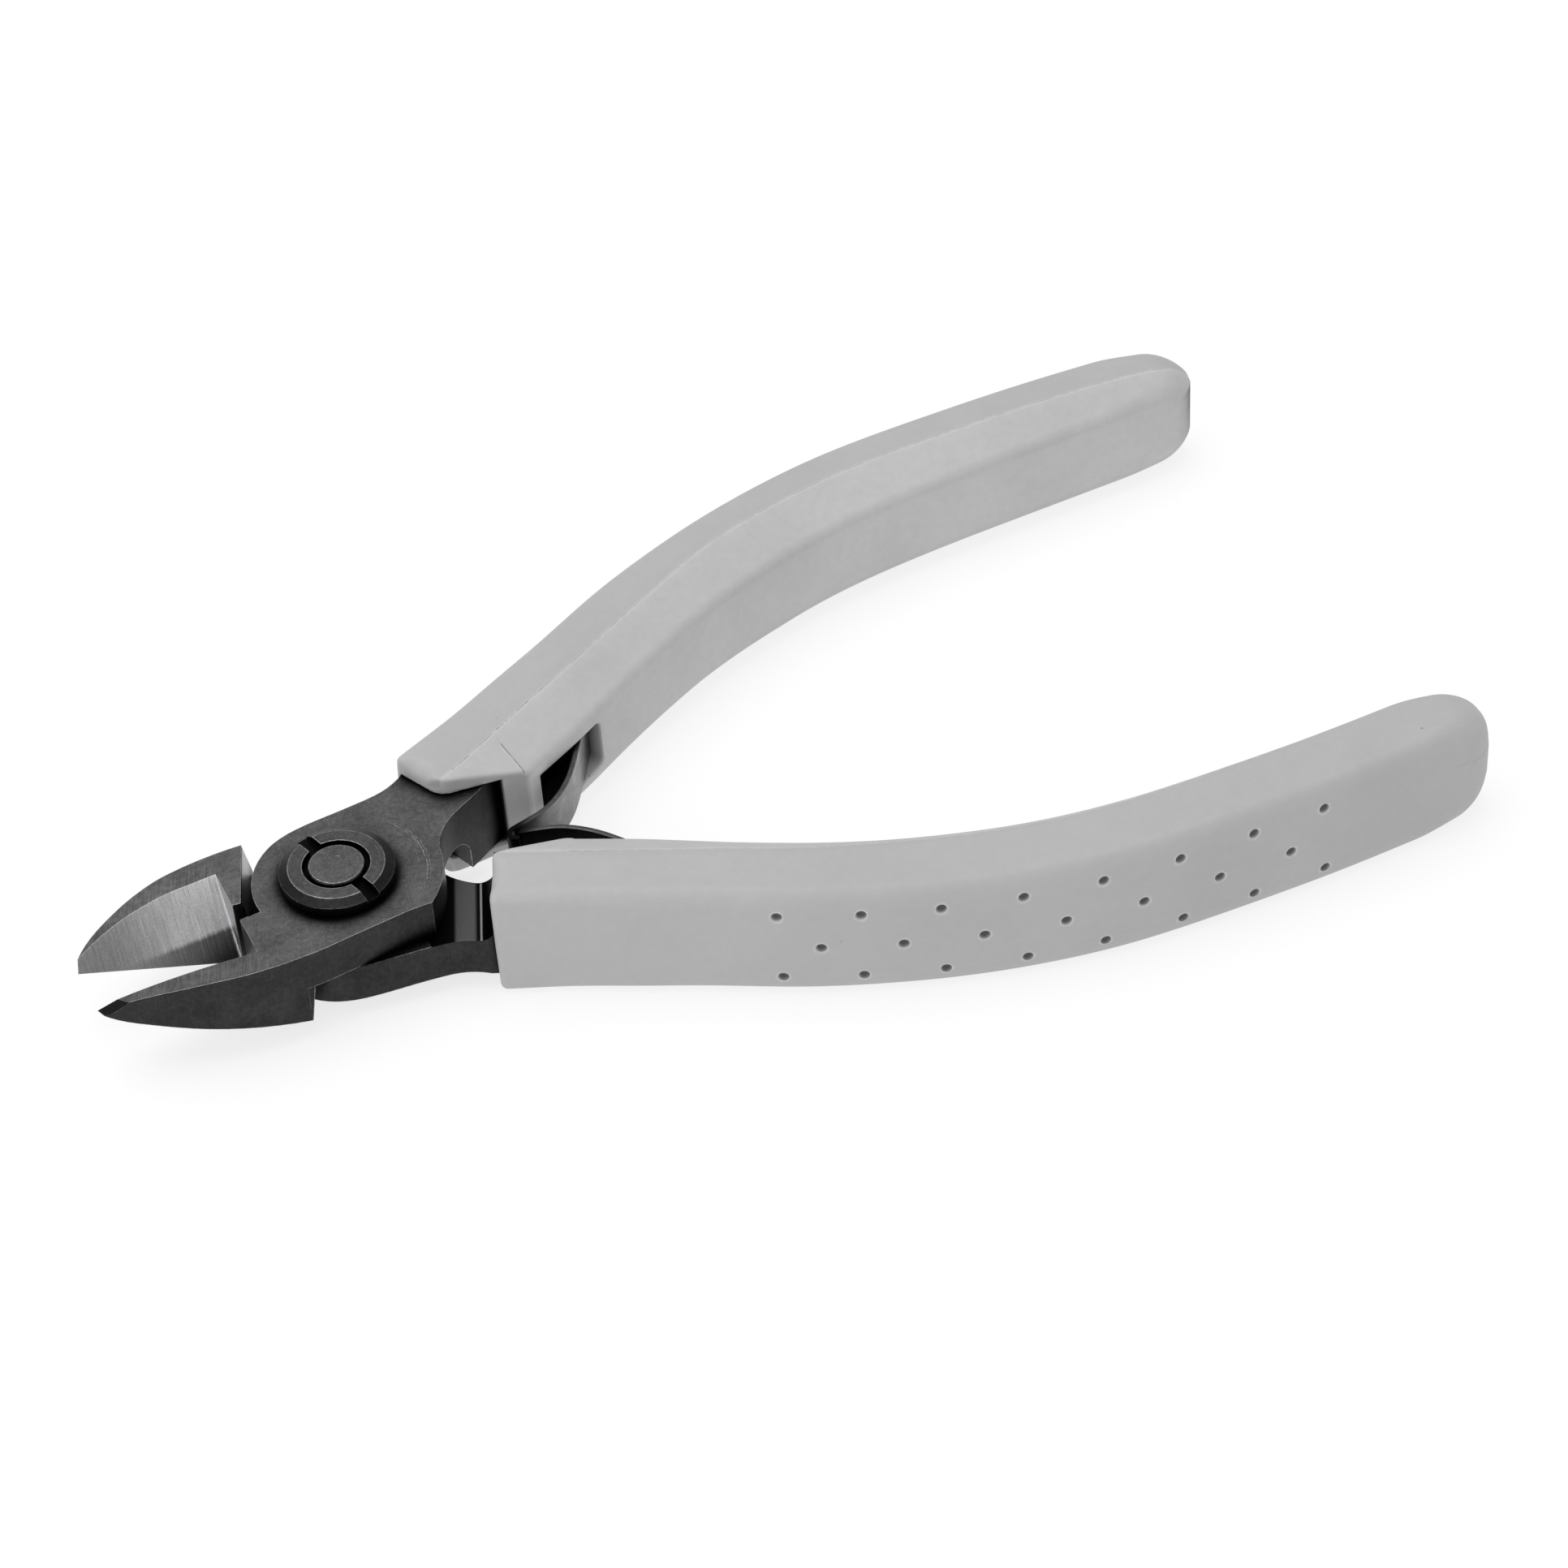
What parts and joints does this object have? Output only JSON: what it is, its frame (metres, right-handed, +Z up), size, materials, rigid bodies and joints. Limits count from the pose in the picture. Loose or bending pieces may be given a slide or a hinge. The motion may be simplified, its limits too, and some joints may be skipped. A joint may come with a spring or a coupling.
{
  "type": "micro side cutter",
  "caption": "Small electronics side cutter: blackened steel lap joint on a screw and round slotted nut, bevelled jaws, leaf return springs and light grey dimpled grips.",
  "frame": {"origin": "centre of the underside of the whole tool's box, on the plane the tool lies on", "axes": "+X from the jaws to the handle ends, +Y to the side of the handle whose lever is the upper half of the joint, +Z up out of the face with the nut"},
  "size_m": [0.1186, 0.0626, 0.0114],
  "materials": {
    "black_steel": "black oxide on ground tool steel, bright along worn edges and on the ground bevels",
    "spring_steel": "blued spring strip with light edges",
    "grip_body": "fine matte moulded plastic, light neutral grey",
    "grip_skin": "soft matte moulded skin, light neutral grey, with small dimples"
  },
  "bodies": {
    "far_half": {"lever_a": "black_steel", "grip_a": "grip_body", "skin_a": "grip_skin", "joint_screw": "black_steel", "joint_nut": "black_steel", "leaf_spring_a": "spring_steel", "spring_rivet_a": "spring_steel"},
    "near_half": {"lever_b": "black_steel", "grip_b": "grip_body", "skin_b": "grip_skin", "leaf_spring_b": "spring_steel", "spring_rivet_b": "spring_steel"}
  },
  "joints": [
    {"name": "pivot", "type": "hinge", "parent": "far_half", "child": "near_half", "pos_m": [-0.03655, 0, 0.0057], "axis": [0, 0, 1], "range_deg": [0, 12], "stiffness_Nm_per_rad": 2, "deforming": ["leaf_spring_a", "leaf_spring_b"]}
  ]
}
